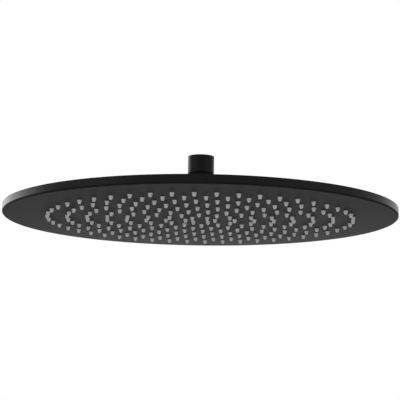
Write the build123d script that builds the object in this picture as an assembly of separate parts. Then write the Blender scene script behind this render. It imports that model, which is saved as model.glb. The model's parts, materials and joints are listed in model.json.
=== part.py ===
from build123d import *
import os
from math import acos, asin, cos, degrees, radians, sin, sqrt, tan

# Rain shower head, millimetres, +Z up. The origin is on the stem axis where the inlet thread starts,
# and the head hangs below it with its spray face looking down.

# Running and assembly clearances
FIT = 0.05
NOZZLE_FIT = 0.10

# Inlet fitting: a half-inch pipe thread, then pockets for the washer, the screen and the flow regulator
THREAD_RADIUS = 9.316
THREAD_LENGTH = 8.6
LEAD_IN = 1.0
RELIEF_DEPTH = 0.9
WASHER_ROOM = 0.2
WASHER_THICKNESS = 2.0
WASHER_BORE = 6.4
SCREEN_THICKNESS = 0.4
SCREEN_HOLE = 0.65
SCREEN_PITCH = 1.9
REGULATOR_RADIUS = 7.0
REGULATOR_THICKNESS = 2.4
REGULATOR_GROOVE = 4.3
REGULATOR_GROOVE_WIDTH = 2.0
REGULATOR_GROOVE_DEPTH = 1.3
REGULATOR_CORD = 0.6
METERING_HOLE = 0.7
METERING_HOLES = 6
FITTING_FLOOR = 1.5
WATERWAY_RADIUS = 4.5
NECK_WALL = 2.0
STEM_EDGE = 0.4

# Ball swivel: the ball turns and tilts in a liner held by the collar. A skirt on the fitting hides the ball:
# it is hollowed to a sphere round the swivel, and the collar's shoulder is domed to match
BALL_RADIUS = 10.0
BALL_LAND = 2.1
LINER_THICKNESS = 1.4
LINER_LOW_ANGLE = 5.0
COLLAR_WALL = 2.0
COLLAR_LIP = 1.2
COLLAR_THREAD = 10.0
SKIRT_ANGLE = 34.0
SKIRT_LAND = 0.6
SKIRT_GAP = 0.5
TILT_LIMIT = 7.0
TILT_ROOM = 1.8
LINER_END_ROOM = 1.5
SEAL_CORD = 0.75
SEAL_ANGLE = 30.0
SEAL_ROOM = 0.2

# Boss on the head: a cup under the ball, a flared foot and a spigot through the shell
BOSS_RIM_DROP = 1.5
BOSS_FLOOR_ROOM = 1.0
BOSS_LENGTH = 18.3
BOSS_BORE = 5.5
FLARE_RADIUS = 10.0
FLANGE_EDGE = 1.2
SPIGOT_RADIUS = 9.5
NUT_RADIUS = 15.0
NUT_THICKNESS = 2.0
NUT_SLOTS = 4
NUT_SLOT_WIDTH = 3.0
NUT_SLOT_DEPTH = 2.0
GASKET_THICKNESS = 0.7

# Head: shell with a rim skirt, face plate, nozzle mat and its retainer
HEAD_RADIUS = 200.0
SHELL_THICKNESS = 1.2
TOP_ROUND = 0.5
LOW_ROUND = 1.5
RIM_LAND = 2.0
LEDGE_WIDTH = 2.0
PLATE_THICKNESS = 1.2
MAT_THICKNESS = 1.4
MAT_MARGIN = 5.0
RETAINER_THICKNESS = 1.2
OUTLET_GAP = 0.8
SEAL_WIDTH = 2.5
SEAL_HEIGHT = 2.0
SLOT_WIDTH = 5.0
PILLAR_RADIUS = 3.0
PILLARS_PER_RING = 6

# Nozzles: ring after ring, each with six more than the ring inside it
BARE_BORDER = 40.0
FIRST_RING = 15.0
RING_PITCH = 20.0
NOZZLES_PER_STEP = 6
NOZZLE_BASE = 2.15
NOZZLE_TIP = 1.3
NOZZLE_COLLAR = 0.6
NOZZLE_DROP = 3.5
NOZZLE_BORE = 0.6

# Radii that follow from the pieces inside the stem
NECK_RADIUS = WATERWAY_RADIUS + NECK_WALL
LINER_INNER = BALL_RADIUS + FIT
LINER_OUTER = LINER_INNER + LINER_THICKNESS
SOCKET_RADIUS = LINER_OUTER + FIT
STEM_RADIUS = SOCKET_RADIUS + COLLAR_WALL
RELIEF_RADIUS = THREAD_RADIUS + RELIEF_DEPTH
OPENING_RADIUS = NECK_RADIUS + TILT_ROOM
OPENING_ANGLE = degrees(acos(OPENING_RADIUS / SOCKET_RADIUS))
LINER_HIGH_ANGLE = OPENING_ANGLE - TILT_LIMIT - LINER_END_ROOM
SKIRT_INNER = STEM_RADIUS - SKIRT_LAND
SKIRT_RADIUS = SKIRT_INNER / cos(radians(SKIRT_ANGLE))
DOME_RADIUS = SKIRT_RADIUS - SKIRT_GAP
BALL_FLAT = WATERWAY_RADIUS + BALL_LAND
SEAL_REACH = BALL_RADIUS + FIT + SEAL_CORD
SEAL_RADIUS = SEAL_REACH * cos(radians(SEAL_ANGLE))
CUP_RADIUS = SEAL_RADIUS + SEAL_CORD + SEAL_ROOM

# Heights above the swivel: the collar's top at rest and, on its high side, at full tilt
COLLAR_RISE = SOCKET_RADIUS * sin(radians(OPENING_ANGLE)) + COLLAR_LIP
TILTED_RISE = COLLAR_RISE * cos(radians(TILT_LIMIT)) + OPENING_RADIUS * sin(radians(TILT_LIMIT))
FOOT_RISE = TILTED_RISE + SKIRT_GAP

# Heights down the stem, from the mouth to the spray face
MOUTH_Z = LEAD_IN
RELIEF_Z = -THREAD_LENGTH
WASHER_TOP = RELIEF_Z - WASHER_ROOM
SCREEN_TOP = WASHER_TOP - WASHER_THICKNESS
REGULATOR_TOP = SCREEN_TOP - SCREEN_THICKNESS
REGULATOR_Z = REGULATOR_TOP - REGULATOR_THICKNESS
FITTING_Z = REGULATOR_Z - FITTING_FLOOR
SWIVEL_Z = FITTING_Z - FOOT_RISE
SKIRT_Z = SWIVEL_Z + SKIRT_INNER * tan(radians(SKIRT_ANGLE))
COLLAR_TOP = SWIVEL_Z + COLLAR_RISE
BALL_END_Z = SWIVEL_Z - sqrt(BALL_RADIUS**2 - BALL_FLAT**2)
SEAL_Z = SWIVEL_Z - SEAL_REACH * sin(radians(SEAL_ANGLE))
BOSS_TOP = SWIVEL_Z - BOSS_RIM_DROP
CUP_Z = BALL_END_Z - BOSS_FLOOR_ROOM
COLLAR_Z = BOSS_TOP - COLLAR_THREAD
SHELL_TOP = COLLAR_Z - BOSS_LENGTH
SHELL_UNDER = SHELL_TOP - SHELL_THICKNESS
GASKET_Z = SHELL_UNDER - GASKET_THICKNESS
NUT_Z = GASKET_Z - NUT_THICKNESS
RETAINER_TOP = NUT_Z - OUTLET_GAP
MAT_TOP = RETAINER_TOP - RETAINER_THICKNESS
PLATE_TOP = MAT_TOP - MAT_THICKNESS
FACE_Z = PLATE_TOP - PLATE_THICKNESS

# Radii across the head
PLATE_RADIUS = HEAD_RADIUS - RIM_LAND
LEDGE_RADIUS = PLATE_RADIUS - LEDGE_WIDTH
FIELD_RADIUS = HEAD_RADIUS - BARE_BORDER
MAT_RADIUS = FIELD_RADIUS + MAT_MARGIN
RINGS = int((FIELD_RADIUS - FIRST_RING) / RING_PITCH) + 1


def turned(*edges):
    """Turns a closed half-section, drawn as radius and height, round the stem axis."""
    return revolve(Plane.XZ * make_face(edges), Axis.Z)


def turned_corners(*corners):
    """Turns a half-section with straight sides round the stem axis."""
    return turned(Polyline(*corners, close=True))


def ring(inner, outer, low, high):
    """A flat ring between two radii and two heights."""
    return turned_corners((inner, low), (outer, low), (outer, high), (inner, high))


def on_ball(radius, angle):
    """The radius and height of a point on a sphere round the swivel, at an angle above its equator."""
    return radius * cos(radians(angle)), SWIVEL_Z + radius * sin(radians(angle))


def ring_radius(ring_number):
    """The radius of a nozzle ring, counted from 1 at the middle."""
    return FIRST_RING + (ring_number - 1) * RING_PITCH


def nozzle_places(height):
    """One location for each nozzle, ring after ring, at a height."""
    return [
        Pos(0, 0, height) * place
        for ring_number in range(1, RINGS + 1)
        for place in PolarLocations(ring_radius(ring_number), NOZZLES_PER_STEP * ring_number)
    ]


def perforated(radius, hole_radius, places):
    """A round sheet with a round hole at each place, as a flat face."""
    holes = [Wire.make_circle(hole_radius, Plane(place)) for place in places]
    return Face(Wire.make_circle(radius, Plane(Pos(0, 0, places[0].position.Z))), holes)


def inlet_fitting():
    """Socket for the pipe thread, with a skirt, the neck and the ball turned on its lower end."""
    neck_foot = SWIVEL_Z + sqrt(BALL_RADIUS**2 - NECK_RADIUS**2)
    ball = ThreePointArc((BALL_FLAT, BALL_END_Z), (BALL_RADIUS, SWIVEL_Z), (NECK_RADIUS, neck_foot))
    hollow_angle = degrees(asin(FOOT_RISE / SKIRT_RADIUS))
    hollow_top = on_ball(SKIRT_RADIUS, hollow_angle)
    hollow_foot = on_ball(SKIRT_RADIUS, SKIRT_ANGLE)
    under = Polyline((NECK_RADIUS, neck_foot), (NECK_RADIUS, FITTING_Z), hollow_top)
    hollow = ThreePointArc(hollow_top, on_ball(SKIRT_RADIUS, (hollow_angle + SKIRT_ANGLE) / 2), hollow_foot)
    body = Polyline(
        hollow_foot,
        (STEM_RADIUS - STEM_EDGE, SKIRT_Z),
        (STEM_RADIUS, SKIRT_Z + STEM_EDGE),
        (STEM_RADIUS, MOUTH_Z - STEM_EDGE),
        (STEM_RADIUS - STEM_EDGE, MOUTH_Z),
        (THREAD_RADIUS + LEAD_IN, MOUTH_Z),
        (THREAD_RADIUS, MOUTH_Z - LEAD_IN),
        (THREAD_RADIUS, RELIEF_Z),
        (RELIEF_RADIUS, RELIEF_Z),
        (RELIEF_RADIUS, REGULATOR_TOP),
        (REGULATOR_RADIUS, REGULATOR_TOP),
        (REGULATOR_RADIUS, REGULATOR_Z),
        (WATERWAY_RADIUS, REGULATOR_Z),
        (WATERWAY_RADIUS, BALL_END_Z),
        (BALL_FLAT, BALL_END_Z),
    )
    return turned(ball, under, hollow, body)


def inlet_washer():
    return ring(WASHER_BORE, RELIEF_RADIUS - FIT, SCREEN_TOP, WASHER_TOP)


def filter_screen():
    """Thin disc, perforated over the washer's bore in rings of six, twelve and so on."""
    screen_rings = int((WASHER_BORE - SCREEN_HOLE) / SCREEN_PITCH)
    places = [Pos(0, 0, REGULATOR_TOP)] + [
        Pos(0, 0, REGULATOR_TOP) * place
        for ring_number in range(1, screen_rings + 1)
        for place in PolarLocations(ring_number * SCREEN_PITCH, 6 * ring_number)
    ]
    return extrude(perforated(RELIEF_RADIUS - FIT, SCREEN_HOLE, places), SCREEN_THICKNESS, (0, 0, 1))


def flow_regulator():
    """Disc with an open groove for its O-ring and metering holes through the groove's floor."""
    groove_low = REGULATOR_TOP - REGULATOR_GROOVE_DEPTH
    half_width = REGULATOR_GROOVE_WIDTH / 2
    disc = ring(0, REGULATOR_RADIUS - FIT, REGULATOR_Z, REGULATOR_TOP)
    groove = ring(
        REGULATOR_GROOVE - half_width, REGULATOR_GROOVE + half_width, groove_low, REGULATOR_TOP
    )
    hole = Cylinder(METERING_HOLE, 2 * REGULATOR_THICKNESS)
    spots = PolarLocations(REGULATOR_GROOVE, METERING_HOLES)
    return disc - groove - [Pos(0, 0, REGULATOR_Z) * spot * hole for spot in spots]


def regulator_ring():
    cord_z = REGULATOR_TOP - REGULATOR_GROOVE_DEPTH + REGULATOR_CORD
    return Pos(0, 0, cord_z) * Torus(REGULATOR_GROOVE, REGULATOR_CORD)


def ball_liner():
    """Zone of a spherical shell that lies on the upper half of the ball."""
    angles = (LINER_LOW_ANGLE, (LINER_LOW_ANGLE + LINER_HIGH_ANGLE) / 2, LINER_HIGH_ANGLE)
    low_in, mid_in, high_in = (on_ball(LINER_INNER, angle) for angle in angles)
    low_out, mid_out, high_out = (on_ball(LINER_OUTER, angle) for angle in angles)
    return turned(
        ThreePointArc(low_in, mid_in, high_in),
        Line(high_in, high_out),
        ThreePointArc(high_out, mid_out, low_out),
        Line(low_out, low_in),
    )


def swivel_collar():
    """Cap nut: a spherical seat over the liner, a domed shoulder and a bore that screws on the boss.

    Inside the dome the top falls away by the tilt angle, so it lies flat under the fitting at full tilt.
    """
    seat_end = on_ball(SOCKET_RADIUS, OPENING_ANGLE)
    equator = (SOCKET_RADIUS, SWIVEL_Z)
    dome_low = degrees(acos(STEM_RADIUS / DOME_RADIUS))
    dome_high = degrees(asin(TILTED_RISE / DOME_RADIUS)) - TILT_LIMIT
    shoulder = on_ball(DOME_RADIUS, dome_low)
    dome_end = on_ball(DOME_RADIUS, dome_high)
    outside = Polyline(
        equator,
        (SOCKET_RADIUS, COLLAR_Z),
        (STEM_RADIUS - STEM_EDGE, COLLAR_Z),
        (STEM_RADIUS, COLLAR_Z + STEM_EDGE),
        shoulder,
    )
    dome = ThreePointArc(shoulder, on_ball(DOME_RADIUS, (dome_low + dome_high) / 2), dome_end)
    top = Polyline(dome_end, (OPENING_RADIUS, COLLAR_TOP), seat_end)
    seat = ThreePointArc(seat_end, on_ball(SOCKET_RADIUS, OPENING_ANGLE / 2), equator)
    return turned(outside, dome, top, seat)


def ball_seal():
    return Pos(0, 0, SEAL_Z) * Torus(SEAL_RADIUS, SEAL_CORD)


def lower_seat():
    """Ring on the floor of the boss's cup, hollowed to the ball."""
    blank = ring(BOSS_BORE, CUP_RADIUS - FIT, CUP_Z, SEAL_Z - SEAL_CORD - FIT)
    return blank - Pos(0, 0, SWIVEL_Z) * Sphere(BALL_RADIUS + FIT)


def head_boss():
    """Cup for the ball, a stem as wide as the collar, a flared foot and a spigot through the shell."""
    flange_top = SHELL_TOP + FLANGE_EDGE
    flare_top = (STEM_RADIUS, flange_top + FLARE_RADIUS)
    flare_foot = (STEM_RADIUS + FLARE_RADIUS, flange_top)
    thread_radius = SOCKET_RADIUS - FIT
    stem = Polyline(
        (BOSS_BORE, NUT_Z),
        (BOSS_BORE, CUP_Z),
        (CUP_RADIUS, CUP_Z),
        (CUP_RADIUS, BOSS_TOP),
        (thread_radius, BOSS_TOP),
        (thread_radius, COLLAR_Z),
        (STEM_RADIUS, COLLAR_Z),
        flare_top,
    )
    flare = RadiusArc(flare_top, flare_foot, -FLARE_RADIUS)
    foot = Polyline(
        flare_foot,
        (STEM_RADIUS + FLARE_RADIUS, SHELL_TOP),
        (SPIGOT_RADIUS, SHELL_TOP),
        (SPIGOT_RADIUS, NUT_Z),
        (BOSS_BORE, NUT_Z),
    )
    return turned(stem, flare, foot)


def boss_gasket():
    return ring(SPIGOT_RADIUS + FIT, NUT_RADIUS, GASKET_Z, SHELL_UNDER)


def boss_nut():
    """Thin ring nut with slots in its rim for a spanner."""
    slot = Box(2 * NUT_SLOT_DEPTH, NUT_SLOT_WIDTH, 2 * NUT_THICKNESS)
    slots = [Pos(0, 0, NUT_Z) * spot * slot for spot in PolarLocations(NUT_RADIUS, NUT_SLOTS)]
    return ring(SPIGOT_RADIUS + FIT, NUT_RADIUS, NUT_Z, GASKET_Z) - slots


def back_shell():
    """Top cover and rim skirt, with rounded edges outside and a rebate for the face plate inside."""
    top_edge = (HEAD_RADIUS - TOP_ROUND, SHELL_TOP)
    wall_top = (HEAD_RADIUS, SHELL_TOP - TOP_ROUND)
    wall_low = (HEAD_RADIUS, FACE_Z + LOW_ROUND)
    low_edge = (HEAD_RADIUS - LOW_ROUND, FACE_Z)
    rebate = PLATE_RADIUS + FIT
    hole = SPIGOT_RADIUS + FIT
    inside = Polyline(
        low_edge,
        (rebate, FACE_Z),
        (rebate, PLATE_TOP),
        (LEDGE_RADIUS, PLATE_TOP),
        (LEDGE_RADIUS, SHELL_UNDER),
        (hole, SHELL_UNDER),
        (hole, SHELL_TOP),
        top_edge,
    )
    top_arc = RadiusArc(top_edge, wall_top, TOP_ROUND)
    low_arc = RadiusArc(wall_low, low_edge, LOW_ROUND)
    return turned(inside, top_arc, Line(wall_top, wall_low), low_arc)


def rim_seal():
    outer = LEDGE_RADIUS - FIT
    return ring(outer - SEAL_WIDTH, outer, PLATE_TOP, PLATE_TOP + SEAL_HEIGHT)


def face_plate():
    """Round plate with a hole for each nozzle."""
    sheet = perforated(PLATE_RADIUS, NOZZLE_BASE + NOZZLE_FIT, nozzle_places(FACE_Z))
    return extrude(sheet, PLATE_THICKNESS, (0, 0, 1))


def nozzle():
    """One outlet: a plug through the plate, a short collar and a cone, hollow from end to end."""
    return turned_corners(
        (NOZZLE_BORE, -NOZZLE_DROP),
        (NOZZLE_TIP, -NOZZLE_DROP),
        (NOZZLE_BASE, -NOZZLE_COLLAR),
        (NOZZLE_BASE, PLATE_THICKNESS),
        (NOZZLE_BORE, PLATE_THICKNESS),
    )


def nozzle_mat():
    """Silicone sheet on the plate, with a nozzle moulded on at each hole."""
    sheet = extrude(perforated(MAT_RADIUS, NOZZLE_BORE, nozzle_places(PLATE_TOP)), MAT_THICKNESS, (0, 0, 1))
    outlet = nozzle()
    return sheet + [place * outlet for place in nozzle_places(FACE_Z)]


def retainer_slots():
    """Arc slots over each nozzle ring, with webs halfway between neighbouring nozzles."""
    slots = []
    for ring_number in range(1, RINGS + 1):
        step = 360 / (NOZZLES_PER_STEP * ring_number)
        for start in (step, step + 120, step + 240):
            arc = CenterArc((0, 0), ring_radius(ring_number), start, 120 - step)
            slots.append(SlotArc(arc, SLOT_WIDTH))
    return slots


def mat_retainer():
    """Plate that presses the mat down, open over the nozzles, with pillars up to the shell."""
    sheet = Circle(MAT_RADIUS) - retainer_slots()
    plate = Pos(0, 0, MAT_TOP) * extrude(sheet, RETAINER_THICKNESS)
    pillar = extrude(Circle(PILLAR_RADIUS), SHELL_UNDER - RETAINER_TOP)
    pillars = [
        Pos(0, 0, RETAINER_TOP) * place * pillar
        for ring_number in range(2, RINGS, 2)
        for place in PolarLocations(ring_radius(ring_number) + RING_PITCH / 2, PILLARS_PER_RING)
    ]
    return plate + pillars


PIECES = (
    inlet_fitting,
    inlet_washer,
    filter_screen,
    flow_regulator,
    regulator_ring,
    ball_liner,
    swivel_collar,
    ball_seal,
    lower_seat,
    head_boss,
    boss_gasket,
    boss_nut,
    back_shell,
    rim_seal,
    face_plate,
    nozzle_mat,
    mat_retainer,
)

os.makedirs("parts", exist_ok=True)
for piece in PIECES:
    export_step(piece(), f"parts/{piece.__name__}.step")
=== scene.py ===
# %% [markdown]
# A slim round rain shower head in matt black hangs from its pipe. A ball swivel hides in the short
# stem, and grey silicone nozzles stand in rings on the spray face. The engineering model gives every
# piece its place and size. This lesson keeps that frame fixed and gives the pieces smooth surfaces, a
# thread, nozzles and finishes.

# %% Load the frame
import json
import math

import bpy
from mathutils import Matrix, Vector


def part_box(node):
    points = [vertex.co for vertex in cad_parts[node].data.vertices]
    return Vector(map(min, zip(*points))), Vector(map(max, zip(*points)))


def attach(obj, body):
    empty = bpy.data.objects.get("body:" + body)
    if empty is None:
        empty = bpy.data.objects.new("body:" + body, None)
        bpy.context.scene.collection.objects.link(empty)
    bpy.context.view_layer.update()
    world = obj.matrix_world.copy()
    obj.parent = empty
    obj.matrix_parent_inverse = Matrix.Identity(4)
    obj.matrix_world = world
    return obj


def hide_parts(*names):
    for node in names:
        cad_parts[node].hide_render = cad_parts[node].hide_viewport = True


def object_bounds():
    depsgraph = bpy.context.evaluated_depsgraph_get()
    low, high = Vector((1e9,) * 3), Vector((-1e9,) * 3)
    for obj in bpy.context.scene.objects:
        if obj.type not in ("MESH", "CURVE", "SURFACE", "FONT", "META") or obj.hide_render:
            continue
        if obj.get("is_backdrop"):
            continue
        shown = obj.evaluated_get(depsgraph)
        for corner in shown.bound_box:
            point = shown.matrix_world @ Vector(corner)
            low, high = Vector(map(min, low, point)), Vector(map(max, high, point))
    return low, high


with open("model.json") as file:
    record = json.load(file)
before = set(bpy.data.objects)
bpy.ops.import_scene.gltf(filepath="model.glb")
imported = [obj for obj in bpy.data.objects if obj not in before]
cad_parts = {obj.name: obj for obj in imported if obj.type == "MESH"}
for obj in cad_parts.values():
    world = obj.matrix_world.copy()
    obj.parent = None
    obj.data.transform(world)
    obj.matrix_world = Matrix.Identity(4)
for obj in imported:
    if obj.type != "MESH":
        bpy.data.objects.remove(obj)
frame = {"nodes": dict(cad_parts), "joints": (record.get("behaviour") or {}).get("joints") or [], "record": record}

cad_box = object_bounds()
MM = 0.001
print("pieces in the frame:", len(frame["nodes"]))

# %% [markdown]
# The camera stands a little below the head and looks up at it through a long lens, so the near rim lies
# above the spray face in the picture. Its place was worked out from the rings of nozzles, which are
# true circles, and from the two edges of the rim. The height is measured from the spray face, which the
# frame gives.

# %% Camera
LENS = 115.93
CAMERA_BACK = 1.2969
CAMERA_BELOW = 0.2037
CAMERA_ASIDE = -0.00055
HEADING = math.radians(2.14)
PITCH = math.radians(9.782)
ROLL = math.radians(0.785)

plate_low, plate_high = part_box("face_plate")
face_height = plate_low.z


def place_camera():
    """A camera that looks along +Y, pitched up and rolled, then turned round the stem by its heading."""
    camera = bpy.data.objects.new("camera", bpy.data.cameras.new("camera"))
    camera.data.lens = LENS
    camera.data.dof.use_dof = False
    turn = Matrix.Rotation(HEADING, 4, "Z")
    stand = Vector((CAMERA_ASIDE, -CAMERA_BACK, face_height - CAMERA_BELOW))
    look = Matrix.Rotation(math.pi / 2 + PITCH, 4, "X") @ Matrix.Rotation(ROLL, 4, "Z")
    camera.matrix_world = turn @ Matrix.Translation(stand) @ look
    bpy.context.scene.collection.objects.link(camera)
    bpy.context.scene.camera = camera
    return camera


print("camera at", [round(v, 3) for v in place_camera().matrix_world.translation])

# %% [markdown]
# Finishes and shapes are both graphs of nodes, and most of their nodes do arithmetic. Wrapping a socket
# in a small class lets that arithmetic be written as plain Python, so `1 - mask` adds a Math node by
# itself. Every other node comes from one method, which sets the node up first and then fills or links
# its sockets.


# %% Node arithmetic
class Value:
    """One output socket of a node. Arithmetic with it adds Math nodes to the same tree."""

    def __init__(self, graph, socket):
        self.graph = graph
        self.socket = socket

    def output(self, name):
        """Another output of the same node."""
        return Value(self.graph, self.socket.node.outputs[name])

    def __add__(self, other):
        return self.graph.math("ADD", self, other)

    def __radd__(self, other):
        return self.graph.math("ADD", other, self)

    def __sub__(self, other):
        return self.graph.math("SUBTRACT", self, other)

    def __rsub__(self, other):
        return self.graph.math("SUBTRACT", other, self)

    def __mul__(self, other):
        return self.graph.math("MULTIPLY", self, other)

    def __rmul__(self, other):
        return self.graph.math("MULTIPLY", other, self)

    def __truediv__(self, other):
        return self.graph.math("DIVIDE", self, other)

    def __rtruediv__(self, other):
        return self.graph.math("DIVIDE", other, self)


# %% Node graphs
# The Mix node's sockets for colours share their names with its others, so they go by number.
MIX_FIRST = 6
MIX_SECOND = 7
MIX_BLEND = 2


class Graph:
    """Adds nodes to one tree."""

    def __init__(self, tree):
        self.tree = tree

    def add(self, kind, settings=None, sockets=None, output=0):
        """Adds a node, sets it up, then fills its sockets. A list links several values to one socket."""
        node = self.tree.nodes.new(kind)
        for name, setting in (settings or {}).items():
            # An index switch is told how many items it has.
            if name == "index_switch_items":
                for _ in range(setting - len(node.index_switch_items)):
                    node.index_switch_items.new()
            else:
                setattr(node, name, setting)
        for key, value in (sockets or {}).items():
            for each in value if isinstance(value, list) else [value]:
                if isinstance(each, Value):
                    self.tree.links.new(each.socket, node.inputs[key])
                else:
                    node.inputs[key].default_value = each
        return Value(self, node.outputs[output]) if node.outputs else node

    def math(self, operation, *terms):
        """One step of arithmetic, with its terms in order."""
        return self.add("ShaderNodeMath", {"operation": operation}, dict(enumerate(terms)))

    def mix(self, share, first, second):
        """Blends two colours."""
        colours = {"Factor": share, MIX_FIRST: first, MIX_SECOND: second}
        return self.add("ShaderNodeMix", {"data_type": "RGBA"}, colours, output=MIX_BLEND)

    def noise(self, place, scale, detail=2.0):
        """A cloudy value around a half, with features one over the scale in size."""
        return self.add("ShaderNodeTexNoise", None, {"Vector": place, "Scale": scale, "Detail": detail})

    def vector(self, x, y, z):
        """Three values as one vector."""
        return self.add("ShaderNodeCombineXYZ", None, {0: x, 1: y, 2: z})


# %% [markdown]
# Every finish starts from the place of a point on its piece, in metres, and ends in one surface shader
# with a bump. No real surface is equally smooth all over, so the roughness is a middle value that noise
# makes uneven. Noise lies around a half, so half of its spread is taken off first.


# %% Material helpers
def start_material(name):
    """An empty node material, with its graph and the object coordinates to paint by."""
    material = bpy.data.materials.new(name)
    material.use_nodes = True
    material.node_tree.nodes.clear()
    graph = Graph(material.node_tree)
    place = graph.add("ShaderNodeTexCoord", None, None, output="Object")
    return material, graph, place


def uneven(middle, *noises):
    """A value around its middle. Each noise comes with the spread that it gives the value."""
    value = middle - sum(spread for _, spread in noises) / 2
    for noise, spread in noises:
        value = value + noise * spread
    return value


def finish_material(graph, height, bump_depth, sockets):
    """Ends a material in one surface shader with a bump made from the height."""
    bump = graph.add("ShaderNodeBump", None, {"Height": height, "Distance": bump_depth, "Strength": 1.0})
    shader = graph.add("ShaderNodeBsdfPrincipled", None, {**sockets, "Normal": bump})
    graph.add("ShaderNodeOutputMaterial", None, {"Surface": shader})


# %% [markdown]
# The head and the stem are brass and steel under a matt black coat. Such a coat isn't one flat black:
# it has a faint orange peel a millimetre or two across and a finer grain, and it scatters light a
# little unevenly. Both are noise on object coordinates, so the pattern keeps its real size on every
# piece. The stem and the wall of the disc are a deep satin black. The disc's flat sides are matt and
# scatter more light, so they look softer, while its edges are dull and as deep as the stem. The faces
# in the swivel's seam get a rougher black with less gloss, which is painted shade that darkens the seam.

# %% Black coat
DEEP_BLACK = (0.0022, 0.0023, 0.0022, 1), (0.0040, 0.0041, 0.0040, 1)
SOFT_BLACK = (0.0153, 0.0154, 0.0153, 1), (0.0207, 0.0208, 0.0207, 1)
CLOUD_SCALE = 14.0
PEEL_SCALE = 650.0
GRAIN_SCALE = 3200.0
CLOUD_SHARE = 0.6
PEEL_SHARE = 0.7
PEEL_DEPTH = 0.04 * MM
CLOUD_SPREAD = 0.07
GRAIN_SPREAD = 0.05


def black_coat(name, tones, roughness, gloss):
    """A coat that clouds between two tones. Gloss is how much it mirrors when looked at squarely."""
    material, graph, place = start_material(name)
    cloud = graph.noise(place, CLOUD_SCALE)
    peel = graph.noise(place, PEEL_SCALE)
    grain = graph.noise(place, GRAIN_SCALE)
    finish_material(
        graph,
        peel * PEEL_SHARE + grain * (1 - PEEL_SHARE),
        PEEL_DEPTH,
        {
            "Base Color": graph.mix(cloud * CLOUD_SHARE + grain * (1 - CLOUD_SHARE), *tones),
            "Roughness": uneven(roughness, (cloud, CLOUD_SPREAD), (grain, GRAIN_SPREAD)),
            "Specular IOR Level": gloss,
        },
    )
    return material


coat = black_coat("satin_black", DEEP_BLACK, roughness=0.34, gloss=0.09)
face_coat = black_coat("matt_black", SOFT_BLACK, roughness=0.74, gloss=0.026)
edge_coat = black_coat("edge_black", DEEP_BLACK, roughness=0.74, gloss=0.09)
# Painted shade: a rougher black with less gloss for the faces in the swivel's seam, so the seam reads dark.
seam_shade_coat = black_coat("dull_black", DEEP_BLACK, roughness=0.70, gloss=0.055)
print("finishes:", coat.name, face_coat.name, edge_coat.name, seam_shade_coat.name)

# %% [markdown]
# The nozzles are grey silicone, soft enough to rub clean with a thumb. It is matt and even, with a
# slight bloom from the mould. The seals are black rubber, made the same way with other numbers, so one
# function serves both.

# %% Silicone and rubber
SILICONE_GREY = (0.27, 0.27, 0.272, 1), (0.35, 0.35, 0.352, 1)
RUBBER_BLACK = (0.010, 0.010, 0.010, 1), (0.018, 0.018, 0.018, 1)
BLOOM_SCALE = 45.0
MOULD_SCALE = 2600.0
MOULD_DEPTH = 0.010 * MM
BLOOM_SPREAD = 0.06
MOULD_SPREAD = 0.04
RUBBER_GLOSS = 0.35


def soft_rubber(name, tones, roughness):
    """A matt elastomer: cloudy tone, fine mould texture."""
    material, graph, place = start_material(name)
    bloom = graph.noise(place, BLOOM_SCALE)
    mould = graph.noise(place, MOULD_SCALE)
    finish_material(
        graph,
        mould,
        MOULD_DEPTH,
        {
            "Base Color": graph.mix(bloom, *tones),
            "Roughness": uneven(roughness, (bloom, BLOOM_SPREAD), (mould, MOULD_SPREAD)),
            "Specular IOR Level": RUBBER_GLOSS,
        },
    )
    return material


silicone = soft_rubber("nozzle_silicone", SILICONE_GREY, roughness=0.58)
rubber = soft_rubber("seal_rubber", RUBBER_BLACK, roughness=0.62)
print("finishes:", silicone.name, rubber.name)

# %% [markdown]
# Down the mouth of the stem lies a steel screen, and inside the head is a brass nut. Rolled sheet and
# drawn bar have fine lines along one way. Squeezing the coordinates along that way stretches the noise
# into such lines, which takes no picture.

# %% Metal inside
STEEL_GREY = (0.34, 0.34, 0.33, 1), (0.50, 0.50, 0.49, 1)
BRASS_YELLOW = (0.44, 0.29, 0.09, 1), (0.56, 0.39, 0.14, 1)
ROLLED = (1.0, 0.08, 1.0)
DRAWN = (1.0, 1.0, 0.10)
LINE_SCALE = 900.0
LINE_DETAIL = 3.0
LINE_DEPTH = 0.006 * MM
LINE_SPREAD = 0.12


def lined_metal(name, tones, roughness, squeeze):
    """Metal with fine lines along the axis whose coordinates are squeezed most."""
    material, graph, place = start_material(name)
    squeezed = graph.add("ShaderNodeMapping", None, {"Vector": place, "Scale": squeeze})
    lines = graph.noise(squeezed, LINE_SCALE, LINE_DETAIL)
    finish_material(
        graph,
        lines,
        LINE_DEPTH,
        {
            "Base Color": graph.mix(lines, *tones),
            "Roughness": uneven(roughness, (lines, LINE_SPREAD)),
            "Metallic": 1.0,
        },
    )
    return material


steel = lined_metal("screen_steel", STEEL_GREY, roughness=0.32, squeeze=ROLLED)
brass = lined_metal("bare_brass", BRASS_YELLOW, roughness=0.30, squeeze=DRAWN)
print("finishes:", steel.name, brass.name)

# %% [markdown]
# The seats of the ball, the flow regulator and the retainer behind the mat are moulded plastic. It has
# a faint pearskin texture from the mould, and its tone drifts a little where the melt flowed. One
# function makes all three.

# %% Plastic inside
NYLON_WHITE = (0.70, 0.68, 0.60, 1), (0.76, 0.74, 0.67, 1)
REGULATOR_WHITE = (0.66, 0.66, 0.62, 1), (0.72, 0.72, 0.68, 1)
RETAINER_GREY = (0.045, 0.045, 0.048, 1), (0.055, 0.055, 0.058, 1)
FLOW_SCALE = 60.0
PEARSKIN_SCALE = 1900.0
PEARSKIN_DEPTH = 0.012 * MM
PEARSKIN_SPREAD = 0.08


def moulded_plastic(name, tones, roughness):
    """Moulded plastic with a pearskin texture."""
    material, graph, place = start_material(name)
    flow = graph.noise(place, FLOW_SCALE)
    pearskin = graph.noise(place, PEARSKIN_SCALE)
    finish_material(
        graph,
        pearskin,
        PEARSKIN_DEPTH,
        {
            "Base Color": graph.mix(flow, *tones),
            "Roughness": uneven(roughness, (pearskin, PEARSKIN_SPREAD)),
        },
    )
    return material


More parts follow.
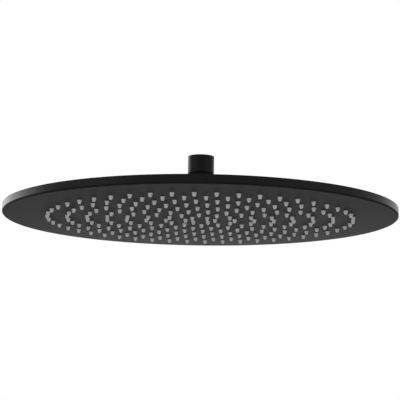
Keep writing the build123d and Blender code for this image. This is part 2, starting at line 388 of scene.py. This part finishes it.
nylon = moulded_plastic("nylon", NYLON_WHITE, roughness=0.46)
regulator = moulded_plastic("regulator_plastic", REGULATOR_WHITE, roughness=0.42)
retainer = moulded_plastic("retainer_plastic", RETAINER_GREY, roughness=0.49)
print("finishes:", nylon.name, regulator.name, retainer.name)

# %% [markdown]
# Every piece of the frame now gets the finish that its record names, also the pieces that can't be seen
# from outside. The face plate takes the softer matt black. The turned outer pieces and the nozzle mat
# are replaced further down, where they get their finish on better meshes.

# %% Dress the frame
finishes = {
    "black_coat": coat,
    "nozzle_silicone": silicone,
    "seal_rubber": rubber,
    "screen_steel": steel,
    "bare_brass": brass,
    "nylon": nylon,
    "regulator_plastic": regulator,
    "retainer_plastic": retainer,
}
slot_of = {part["node"]: part["material_slot"] for part in frame["record"]["subparts"]}
for name, node in frame["nodes"].items():
    node.data.materials.clear()
    node.data.materials.append(finishes[slot_of[name]])
frame["nodes"]["face_plate"].data.materials[0] = face_coat
print("dressed:", sorted(slot_of))

# %% [markdown]
# The shell, the boss, the collar and the inlet fitting are turned pieces, so a half-section tells all
# about them. A lathe made of few flat strips would show as bands along the rim. Here the section gets
# real rounded edges, a short flat strip beside each one to keep the broad faces true, and many steps
# round the axis.

# %% Half-sections
ROUND_STEPS = 5
EDGE_STRIP = 0.25 * MM
# A side gets a strip at its end when it is this many times as long as the strip.
LONG_SIDE = 3


def arc(centre, radius, start, end, steps):
    """Points of an arc in the half-section, with angles in degrees from the outward direction."""
    angles = [math.radians(start + (end - start) * i / steps) for i in range(steps + 1)]
    return [(centre[0] + radius * math.cos(a), centre[1] + radius * math.sin(a)) for a in angles]


def rounded(section):
    """Rounds each corner that carries a radius, and keeps a flat strip at each end of a long side."""
    points = []
    count = len(section)
    for i in range(count):
        corner = Vector(section[i][:2])
        radius = section[i][2] if len(section[i]) > 2 else 0.0
        before = Vector(section[i - 1][:2]) - corner
        after = Vector(section[(i + 1) % count][:2]) - corner
        half_turn = before.angle(after) / 2
        reach = radius / math.tan(half_turn)
        strip = reach + EDGE_STRIP
        if before.length > LONG_SIDE * strip:
            points.append(corner + before.normalized() * strip)
        if radius:
            bisector = (before.normalized() + after.normalized()).normalized()
            middle = corner + bisector * radius / math.sin(half_turn)
            first = corner + before.normalized() * reach - middle
            last = corner + after.normalized() * reach - middle
            sweep = first.angle_signed(last)
            for step in range(ROUND_STEPS + 1):
                points.append(middle + Matrix.Rotation(-sweep * step / ROUND_STEPS, 2) @ first)
        else:
            points.append(corner)
        if after.length > LONG_SIDE * strip:
            points.append(corner + after.normalized() * strip)
    return points


# %% Turned pieces
SHARP_EDGE = math.radians(35)


def turned(name, section, steps, material):
    """Turns a closed half-section, listed upwards on its outside, into a smooth piece."""
    points = rounded(section)
    count = len(points)
    turns = [2 * math.pi * i / steps for i in range(steps)]
    vertices = [(p.x * math.cos(t), p.x * math.sin(t), p.y) for t in turns for p in points]
    faces = []
    for i in range(steps):
        here, there = i * count, (i + 1) % steps * count
        for j in range(count):
            k = (j + 1) % count
            faces.append((here + j, there + j, there + k, here + k))
    mesh = bpy.data.meshes.new(name)
    mesh.from_pydata(vertices, [], faces)
    mesh.shade_smooth()
    mesh.set_sharp_from_angle(angle=SHARP_EDGE)
    mesh.materials.append(material)
    piece = bpy.data.objects.new(name, mesh)
    bpy.context.scene.collection.objects.link(piece)
    print(name, "has", len(faces), "faces from", count, "section points")
    return piece


def second_coat(piece, material, chosen):
    """Another finish on those faces whose middle is a chosen place."""
    piece.data.materials.append(material)
    last = len(piece.data.materials) - 1
    for side in piece.data.polygons:
        if chosen(side.center):
            side.material_index = last


def stands_for(piece, node, body):
    """The piece takes the node's place on its body, and the node is hidden."""
    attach(piece, body)
    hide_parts(node)


# %% [markdown]
# The back shell is a spun disc with a shallow skirt. Its upper edge is rolled over, its lower edge is
# eased, and a rebate inside the skirt takes the face plate flush. Its main radii and heights come from
# the boxes of the shell, the plate and the seal, and its wall and edges are the solid's, so this skin
# lies exactly on it. The flat sides are matt like the plate, the wall is satin, and the two edges are
# dull, so a dark line shows under the wall.

# %% Back shell
SHELL_WALL = 1.2 * MM
TOP_ROUND = 0.5 * MM
LOW_ROUND = 1.5 * MM
FIT = 0.05 * MM
SPIGOT_RADIUS = 9.5 * MM
HEAD_STEPS = 288

shell_low, shell_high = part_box("back_shell")
_, seal_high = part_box("rim_seal")
head_radius = shell_high.x
ledge_radius = seal_high.x + FIT
rebate_radius = plate_high.x + FIT
hole_radius = SPIGOT_RADIUS + FIT

shell = turned(
    "shell_skin",
    [
        (rebate_radius, shell_low.z),
        (head_radius, shell_low.z, LOW_ROUND),
        (head_radius, shell_high.z, TOP_ROUND),
        (hole_radius, shell_high.z),
        (hole_radius, shell_high.z - SHELL_WALL),
        (ledge_radius, shell_high.z - SHELL_WALL),
        (ledge_radius, plate_high.z),
        (rebate_radius, plate_high.z),
    ],
    HEAD_STEPS,
    face_coat,
)
wall_low, wall_high = shell_low.z + LOW_ROUND, shell_high.z - TOP_ROUND
second_coat(shell, coat, lambda place: wall_low < place.z < wall_high)
second_coat(
    shell,
    edge_coat,
    lambda place: shell_low.z < place.z < wall_low or wall_high < place.z < shell_high.z,
)
stands_for(shell, "back_shell", "head")

# %% [markdown]
# The stem is three turned pieces on one line. The inlet fitting is held by the pipe, and its ball hangs
# in the collar below. The collar screws on the boss, which is clamped to the shell. A skirt on the
# fitting is hollowed to a sphere round the ball's centre, and the collar's shoulder is domed to match,
# so the dark seam between them stays narrow however the head is tilted. The joints in the frame give
# the centre and the largest tilt.

# %% Stem sizes
STEM_STEPS = 96
STEM_EDGE = 0.4 * MM
SKIRT_ANGLE = 34.0
SKIRT_LAND = 0.6 * MM
SKIRT_GAP = 0.5 * MM
COLLAR_WALL = 2.0 * MM
OPENING_RADIUS = 8.3 * MM

collar_low, collar_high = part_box("swivel_collar")
stem_radius = collar_high.x
socket_radius = stem_radius - COLLAR_WALL
turn_joint, tilt_joint = frame["joints"]
swivel_height = turn_joint["pos_m"][2]
swivel = (0.0, swivel_height)
tilt_limit = tilt_joint["range_deg"][1]
tilt = math.radians(tilt_limit)
tilted_rise = (collar_high.z - swivel_height) * math.cos(tilt) + OPENING_RADIUS * math.sin(tilt)
skirt_inner = stem_radius - SKIRT_LAND
skirt_radius = skirt_inner / math.cos(math.radians(SKIRT_ANGLE))
dome_radius = skirt_radius - SKIRT_GAP
print("stem radius", round(stem_radius / MM, 2), "mm, swivel at", round(swivel_height / MM, 2), "mm")

# %% [markdown]
# The collar is a cap nut with a round socket that holds the ball. Its dome and its socket are arcs
# about the swivel's centre, so a few steps of each are enough. The dome slides under the skirt and only
# shows in the seam, where it takes the black with less gloss as painted shade.

# %% Swivel collar
DOME_STEPS = 4
SOCKET_STEPS = 8

opening_angle = math.degrees(math.acos(OPENING_RADIUS / socket_radius))
dome_start = math.degrees(math.acos(stem_radius / dome_radius))
dome_end = math.degrees(math.asin(tilted_rise / dome_radius)) - tilt_limit
collar = turned(
    "collar_skin",
    [
        (socket_radius, collar_low.z),
        (stem_radius, collar_low.z, STEM_EDGE),
        *arc(swivel, dome_radius, dome_start, dome_end, DOME_STEPS),
        (OPENING_RADIUS, collar_high.z),
        *arc(swivel, socket_radius, opening_angle, 0, SOCKET_STEPS),
    ],
    STEM_STEPS,
    coat,
)
dome_foot = swivel_height + dome_radius * math.sin(math.radians(dome_start))
# Painted shade: the dome, seen only in the seam, takes the black with less gloss.
second_coat(collar, seam_shade_coat, lambda place: place.z > dome_foot)
stands_for(collar, "swivel_collar", "head")

# %% [markdown]
# The boss carries the head. Its foot sweeps out to the shell in a quarter-round that stops just short
# of level, above a thin flange, and its spigot goes down through the shell. The sweep gets many steps,
# because light slides along it.

# %% Head boss
FLARE_RADIUS = 10.0 * MM
FLARE_START = 265.0
FLARE_END = 180.0
FLARE_STEPS = 14
FLANGE_EDGE = 1.2 * MM
FLANGE_ROUND = 0.4 * MM
BOSS_BORE = 5.5 * MM

boss_low, boss_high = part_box("head_boss")
seat_low, seat_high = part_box("lower_seat")
foot_radius = boss_high.x
flange_top = shell_high.z + FLANGE_EDGE
cup_radius = seat_high.x + FIT
thread_radius = socket_radius - FIT
flare_centre = (foot_radius, flange_top + FLARE_RADIUS)
boss = turned(
    "boss_skin",
    [
        (BOSS_BORE, boss_low.z),
        (SPIGOT_RADIUS, boss_low.z),
        (SPIGOT_RADIUS, shell_high.z),
        (foot_radius, shell_high.z),
        (foot_radius, flange_top, FLANGE_ROUND),
        *arc(flare_centre, FLARE_RADIUS, FLARE_START, FLARE_END, FLARE_STEPS),
        (stem_radius, collar_low.z),
        (thread_radius, collar_low.z),
        (thread_radius, boss_high.z),
        (cup_radius, boss_high.z),
        (cup_radius, seat_low.z),
        (BOSS_BORE, seat_low.z),
    ],
    STEM_STEPS,
    coat,
)
stands_for(boss, "head_boss", "head")

# %% [markdown]
# The inlet fitting goes from the ball at the bottom, over a neck and the hollowed skirt, to the mouth,
# and down inside past the thread's root to the seats of the washer, the screen and the regulator. The
# section follows that way round, so the whole piece is one closed skin. Its ball, neck and hollow take
# the collar dome's black with less gloss, as painted shade in the seam.

# %% Inlet fitting
THREAD_ROOT = 10.2 * MM
LEAD_IN = 0.5 * MM
REGULATOR_RADIUS = 7.0 * MM
WATERWAY_RADIUS = 4.5 * MM
NECK_RADIUS = 6.5 * MM
BALL_RADIUS = 10.0 * MM
BALL_FLAT = 6.6 * MM
BALL_STEPS = 20
HOLLOW_STEPS = 6

fitting_low, fitting_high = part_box("inlet_fitting")
_, washer_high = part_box("inlet_washer")
screen_low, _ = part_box("filter_screen")
regulator_low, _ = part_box("flow_regulator")
relief_radius = washer_high.x + FIT
foot_rise = tilted_rise + SKIRT_GAP
hollow_top = swivel_height + foot_rise
hollow_angle = math.degrees(math.asin(foot_rise / skirt_radius))
skirt_height = swivel_height + skirt_inner * math.tan(math.radians(SKIRT_ANGLE))
ball_start = -math.degrees(math.acos(BALL_FLAT / BALL_RADIUS))
ball_end = math.degrees(math.acos(NECK_RADIUS / BALL_RADIUS))
fitting = turned(
    "fitting_skin",
    [
        (WATERWAY_RADIUS, fitting_low.z),
        *arc(swivel, BALL_RADIUS, ball_start, ball_end, BALL_STEPS),
        (NECK_RADIUS, hollow_top),
        *arc(swivel, skirt_radius, hollow_angle, SKIRT_ANGLE, HOLLOW_STEPS),
        (stem_radius, skirt_height, STEM_EDGE),
        (stem_radius, fitting_high.z, STEM_EDGE),
        (THREAD_ROOT + LEAD_IN, fitting_high.z),
        (THREAD_ROOT, fitting_high.z - LEAD_IN),
        (relief_radius, washer_high.z),
        (relief_radius, screen_low.z),
        (REGULATOR_RADIUS, screen_low.z),
        (REGULATOR_RADIUS, regulator_low.z),
        (WATERWAY_RADIUS, regulator_low.z),
    ],
    STEM_STEPS,
    coat,
)
# Painted shade: the ball, neck and hollow under the skirt take the black with less gloss.
second_coat(fitting, seam_shade_coat, lambda place: place.z <= hollow_top and place.xy.length < skirt_inner)
stands_for(fitting, "inlet_fitting", "inlet")

# %% [markdown]
# What repeats, or follows a path, is grown by Geometry Nodes. A tree built in code has named sizes as
# its inputs, so it can be opened in the editor and tried with others. The first helpers start and end
# such a tree and draw a section in it. The last one runs the tree once and keeps the plain mesh,
# because a part for a library should hold no live modifier.

# %% Geometry Nodes trees
SOCKETS = {float: "NodeSocketFloat", int: "NodeSocketInt"}


def start_tree(name, sizes):
    """A node tree with one input for each size, and one for the finish."""
    tree = bpy.data.node_groups.new(name, "GeometryNodeTree")
    for size, value in sizes.items():
        tree.interface.new_socket(size, in_out="INPUT", socket_type=SOCKETS[type(value)])
    tree.interface.new_socket("Finish", in_out="INPUT", socket_type="NodeSocketMaterial")
    tree.interface.new_socket("Piece", in_out="OUTPUT", socket_type="NodeSocketGeometry")
    graph = Graph(tree)
    inputs = graph.add("NodeGroupInput")
    return graph, {size: inputs.output(size) for size in [*sizes, "Finish"]}


def end_tree(graph, shape, finish):
    """Ends a tree: smooth faces with crisp edges, instances made real, and the finish set."""
    edge_angle = graph.add("GeometryNodeInputMeshEdgeAngle")
    crisp = graph.add("FunctionNodeCompare", None, {0: edge_angle, 1: SHARP_EDGE})
    real = graph.add("GeometryNodeRealizeInstances", None, {"Geometry": shape})
    smooth = graph.add("GeometryNodeSetShadeSmooth", None, {"Geometry": real, "Shade Smooth": True})
    edged = graph.add(
        "GeometryNodeSetShadeSmooth",
        {"domain": "EDGE"},
        {"Geometry": smooth, "Selection": crisp, "Shade Smooth": False},
    )
    done = graph.add("GeometryNodeSetMaterial", None, {"Geometry": edged, "Material": finish})
    graph.add("NodeGroupOutput", None, {"Piece": done})


def section_curve(graph, corners):
    """A closed curve through the corners of a section, each given across and along."""
    points = [graph.vector(across, along, 0.0) for across, along in corners]
    index = graph.add("GeometryNodeInputIndex")
    corner = graph.add(
        "GeometryNodeIndexSwitch",
        {"data_type": "VECTOR", "index_switch_items": len(points)},
        {"Index": index, **dict(enumerate(points, start=1))},
    )
    line = graph.add("GeometryNodeCurvePrimitiveLine")
    dots = graph.add("GeometryNodeResampleCurve", None, {"Curve": line, "Count": len(points)})
    placed = graph.add("GeometryNodeSetPosition", None, {"Geometry": dots, "Position": corner})
    return graph.add("GeometryNodeSetSplineCyclic", None, {"Geometry": placed, "Cyclic": True})


# %% Run a tree
def grow(name, tree, sizes, material):
    """Runs a tree on a new object and keeps what it made as a plain mesh."""
    piece = bpy.data.objects.new(name, bpy.data.meshes.new(name))
    bpy.context.scene.collection.objects.link(piece)
    modifier = piece.modifiers.new("shape", "NODES")
    modifier.node_group = tree
    inputs = {item.name: item.identifier for item in tree.interface.items_tree if item.in_out == "INPUT"}
    for size, value in {**sizes, "Finish": material}.items():
        modifier[inputs[size]] = value
    depsgraph = bpy.context.evaluated_depsgraph_get()
    mesh = bpy.data.meshes.new_from_object(piece.evaluated_get(depsgraph), depsgraph=depsgraph)
    piece.modifiers.remove(modifier)
    piece.data = mesh
    print(name, "has", len(mesh.polygons), "faces")
    return piece


# %% [markdown]
# The spray face is what one looks at first: rings of nozzles, each ring with six more than the one
# inside it. Counting every nozzle from the middle, a square root finds the ring that nozzle i stands
# in, and what is left over gives its place in the ring, so one formula places them all.

# %% Nozzle places
mat_low, mat_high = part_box("nozzle_mat")
NOZZLE_SIZES = {
    "Rings": 8,
    "Ring Step": 6,
    "First Ring": 15.0 * MM,
    "Ring Pitch": 20.0 * MM,
    "Base Radius": 2.15 * MM,
    "Tip Radius": 1.3 * MM,
    "Tip Ease": 0.10 * MM,
    "Bore Radius": 0.6 * MM,
    "Collar": 0.6 * MM,
    "Face Height": face_height,
    "Tip Height": mat_low.z,
    "Sheet Low": plate_high.z,
    "Sheet High": mat_high.z,
    "Sheet Radius": mat_high.x,
    "Sheet Sides": 128,
    "Sides": 12,
}
# Keeps a ring number that comes out a hair too small from being rounded down to the ring before.
RING_NUDGE = 0.0001


def nozzle_spots(graph, size):
    """A point for every nozzle, at the height of the spray face."""
    index = graph.add("GeometryNodeInputIndex")
    step = size["Ring Step"]
    # Ring k starts at nozzle step * k * (k - 1) / 2, which is solved for k here.
    square = 1 + 8 * index / step
    ring = graph.math("FLOOR", (1 + graph.math("SQRT", square)) / 2 + RING_NUDGE)
    before = step * ring * (ring - 1) / 2
    angle = 2 * math.pi * (index - before) / (step * ring)
    radius = size["First Ring"] + (ring - 1) * size["Ring Pitch"]
    x = radius * graph.math("COSINE", angle)
    y = radius * graph.math("SINE", angle)
    spot = graph.vector(x, y, size["Face Height"])
    count = step * size["Rings"] * (size["Rings"] + 1) / 2
    return graph.add("GeometryNodePoints", None, {"Count": count, "Position": spot})


print("nozzle tips at", round(mat_low.z / MM, 2), "mm, spray face at", round(face_height / MM, 2), "mm")

# %% [markdown]
# Each nozzle is a short collar and a cone with an eased tip and a bore. Its section is swept round a
# circle, because a sweep leaves the bore open and needs no cutting. All nozzles stand on one moulded
# sheet behind the plate, and each has only a few dozen faces, because there are hundreds.


# %% Nozzle mat
def one_nozzle(graph, size):
    """The section of a nozzle, across and along it, swept round a circle on its bore."""
    bore, base, tip = size["Bore Radius"], size["Base Radius"], size["Tip Radius"]
    root = size["Face Height"] - size["Sheet Low"]
    drop = size["Face Height"] - size["Tip Height"]
    ease = size["Tip Ease"]
    corners = [
        (0.0, root),
        (base - bore, root),
        (base - bore, size["Collar"]),
        (tip - bore, drop - ease),
        (tip - bore - ease, drop),
        (0.0, drop),
    ]
    round_bore = {"Resolution": size["Sides"], "Radius": bore}
    circle = graph.add("GeometryNodeCurvePrimitiveCircle", None, round_bore)
    sweep = {"Curve": circle, "Profile Curve": section_curve(graph, corners)}
    return graph.add("GeometryNodeCurveToMesh", None, sweep)


def mat_sheet(graph, size):
    """The sheet behind the plate that all nozzles are moulded on."""
    depth = size["Sheet High"] - size["Sheet Low"]
    outline = {"Vertices": size["Sheet Sides"], "Radius": size["Sheet Radius"], "Depth": depth}
    disc = graph.add("GeometryNodeMeshCylinder", None, outline)
    lift = graph.vector(0.0, 0.0, (size["Sheet High"] + size["Sheet Low"]) / 2)
    return graph.add("GeometryNodeTransform", None, {"Geometry": disc, "Translation": lift})


def nozzle_tree():
    """A nozzle at every spot, and the sheet."""
    graph, size = start_tree("nozzle mat", NOZZLE_SIZES)
    nozzles = graph.add(
        "GeometryNodeInstanceOnPoints",
        None,
        {"Points": nozzle_spots(graph, size), "Instance": one_nozzle(graph, size)},
    )
    whole = graph.add("GeometryNodeJoinGeometry", None, {"Geometry": [nozzles, mat_sheet(graph, size)]})
    end_tree(graph, whole, size["Finish"])
    return graph.tree


mat = grow("nozzle_field", nozzle_tree(), NOZZLE_SIZES, silicone)
stands_for(mat, "nozzle_mat", "head")

# %% [markdown]
# The pipe thread in the mouth follows a path: a helix with a pitch of 1.814 mm, fourteen turns to the
# inch. A ridge with the thread's slanted flanks is swept along a spiral, and its height runs out at
# both ends as the cutter leaves the metal. The crest lies on the bore of the solid, which stands for
# the thread's inner size, and the root is sunk a little in the wall, so no gap shows.

# %% Inlet thread
ROOT_SINK = 0.1 * MM
WASHER_CLEARANCE = 0.3 * MM
THREAD_SIZES = {
    "Turns": 4.5,
    "Pitch": 1.814 * MM,
    "Root Radius": THREAD_ROOT + ROOT_SINK,
    "Crest Radius": 9.316 * MM,
    "Root Width": 1.5 * MM,
    "Crest Width": 0.4 * MM,
    "End Scale": 0.02,
    "Low": washer_high.z + WASHER_CLEARANCE,
    "Steps": 72,
}


def thread_tree():
    """A ridge swept along a helix, with its height run out over half a turn at each end."""
    graph, size = start_tree("inlet thread", THREAD_SIZES)
    half_root, half_crest = size["Root Width"] / 2, size["Crest Width"] / 2
    inward = size["Crest Radius"] - size["Root Radius"]
    corners = [(0.0, -1 * half_root), (0.0, half_root), (inward, half_crest), (inward, -1 * half_crest)]
    helix = graph.add(
        "GeometryNodeCurveSpiral",
        None,
        {
            "Resolution": size["Steps"],
            "Rotations": size["Turns"],
            "Start Radius": size["Root Radius"],
            "End Radius": size["Root Radius"],
            "Height": size["Turns"] * size["Pitch"],
            "Reverse": True,
        },
    )
    upright = graph.add("GeometryNodeSetCurveNormal", {"mode": "Z_UP"}, {"Curve": helix})
    along = graph.add("GeometryNodeSplineParameter")
    run_out = 2 * size["Turns"] * graph.math("MINIMUM", along, 1 - along)
    sweep = {
        "Curve": upright,
        "Profile Curve": section_curve(graph, corners),
        "Scale": graph.math("MINIMUM", run_out + size["End Scale"], 1.0),
        "Fill Caps": True,
    }
    ridge = graph.add("GeometryNodeCurveToMesh", None, sweep)
    lift = graph.vector(0.0, 0.0, size["Low"])
    raised = graph.add("GeometryNodeTransform", None, {"Geometry": ridge, "Translation": lift})
    end_tree(graph, raised, size["Finish"])
    return graph.tree


thread = grow("inlet_thread_ridge", thread_tree(), THREAD_SIZES, coat)
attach(thread, "inlet")

# %% [markdown]
# The stage is a plain pale floor, as far below the head as in a shower, so the spray face can be looked
# at from underneath. It is one wide flat disc, so that its edge is far away from every side.

# %% Floor
FLOOR_DROP = 2.2
FLOOR_RADIUS = 26.0
FLOOR_SIDES = 96
FLOOR_TONE = (0.80, 0.80, 0.80, 1)
FLOOR_ROUGHNESS = 0.85
MOTTLE_SCALE = 3.0
MOTTLE_DEPTH = 0.2 * MM
MOTTLE_SPREAD = 0.1


def pale_floor():
    """A disc with a faint mottle."""
    material, graph, place = start_material("pale_floor")
    mottle = graph.noise(place, MOTTLE_SCALE)
    roughness = uneven(FLOOR_ROUGHNESS, (mottle, MOTTLE_SPREAD))
    finish_material(graph, mottle, MOTTLE_DEPTH, {"Base Color": FLOOR_TONE, "Roughness": roughness})
    mesh = bpy.data.meshes.new("floor")
    turns = [2 * math.pi * i / FLOOR_SIDES for i in range(FLOOR_SIDES)]
    height = face_height - FLOOR_DROP
    corners = [(FLOOR_RADIUS * math.cos(t), FLOOR_RADIUS * math.sin(t), height) for t in turns]
    mesh.from_pydata(corners, [], [range(FLOOR_SIDES)])
    mesh.materials.append(material)
    floor = bpy.data.objects.new("floor", mesh)
    bpy.context.scene.collection.objects.link(floor)
    floor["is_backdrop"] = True


pale_floor()
print("floor", FLOOR_DROP, "m below the spray face")

# %% [markdown]
# The surround is white. Eyes and reflections see it at full white, and it lights the matt surfaces at a
# plain level, so that a colour looks as it is written. The Light Path node tells the two apart.

# %% Surround
SURROUND_LIGHT = 0.80
WHITE = (1, 1, 1, 1)


def white_surround():
    """A world that is white to look at, with a strength of its own for the light that it sheds."""
    world = bpy.data.worlds.new("surround")
    world.use_nodes = True
    world.node_tree.nodes.clear()
    graph = Graph(world.node_tree)
    ray = graph.add("ShaderNodeLightPath", None, None, output="Is Camera Ray")
    looks = ray + ray.output("Is Glossy Ray") + ray.output("Is Transmission Ray")
    seen = graph.math("MINIMUM", looks, 1.0)
    strength = seen + (1 - seen) * SURROUND_LIGHT
    light = graph.add("ShaderNodeBackground", None, {"Color": WHITE, "Strength": strength})
    graph.add("ShaderNodeOutputWorld", None, {"Surface": light})
    bpy.context.scene.world = world


white_surround()
bpy.context.scene.view_settings.view_transform = "Standard"
print("surround sheds", SURROUND_LIGHT, "of full white")

# %% [markdown]
# Soft boxes stand round the head for the rim to mirror, and a low strip behind it lights the far part
# of the spray face. So that none leaves a bright pool on the floor, the strongest one only shows in
# reflections, and the fill for the nozzles shines through a grid, which narrows it. The fill is kept
# out of reflections, because the front of the rim would mirror it as a bright patch.

# %% Soft boxes
STRIP_DROP = 0.06
FILL_SPREAD = math.radians(60)
# Each box has its place, its width and height, and its power.
SOFT_BOXES = {
    "front_fill": ((0.0, -1.6, -0.55), (1.4, 0.5), 2.1),
    "left_front": ((-2.0, -1.6, 0.2), (1.2, 1.4), 6.0),
    "right_front": ((2.2, -1.3, 0.2), (1.6, 1.4), 4.0),
    "left_side": ((-2.48, 1.87, 0.35), (3.0, 1.4), 32.0),
    "right_back": ((1.8, 2.6, 0.35), (1.6, 1.4), 4.0),
    "back_strip": ((0.0, 0.62, face_height - STRIP_DROP), (0.75, 0.06), 1.25),
}


def soft_box(name, place, size, power):
    """A wide soft lamp that looks at the head and isn't seen by the camera."""
    lamp = bpy.data.lights.new(name, "AREA")
    lamp.shape = "RECTANGLE"
    lamp.size, lamp.size_y = size
    lamp.energy = power
    box = bpy.data.objects.new(name, lamp)
    aim = Vector((0, 0, face_height)) - Vector(place)
    box.matrix_world = Matrix.Translation(place) @ aim.to_track_quat("-Z", "Y").to_matrix().to_4x4()
    box.visible_camera = False
    bpy.context.scene.collection.objects.link(box)
    return box


boxes = {name: soft_box(name, *settings) for name, settings in SOFT_BOXES.items()}
boxes["front_fill"].visible_glossy = False
boxes["front_fill"].data.spread = FILL_SPREAD
boxes["left_side"].visible_diffuse = False
print("soft boxes:", *boxes)

# %% [markdown]
# Last, the size of the dressed head is measured against the solid's. The skins lie on the solid, so it
# should hardly grow.

# %% Measure and finish
visual_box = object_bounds()
growth = [round((v - c) / MM, 3) for a, b in zip(visual_box, cad_box) for v, c in zip(a, b)]
print("box grew by", growth, "mm")
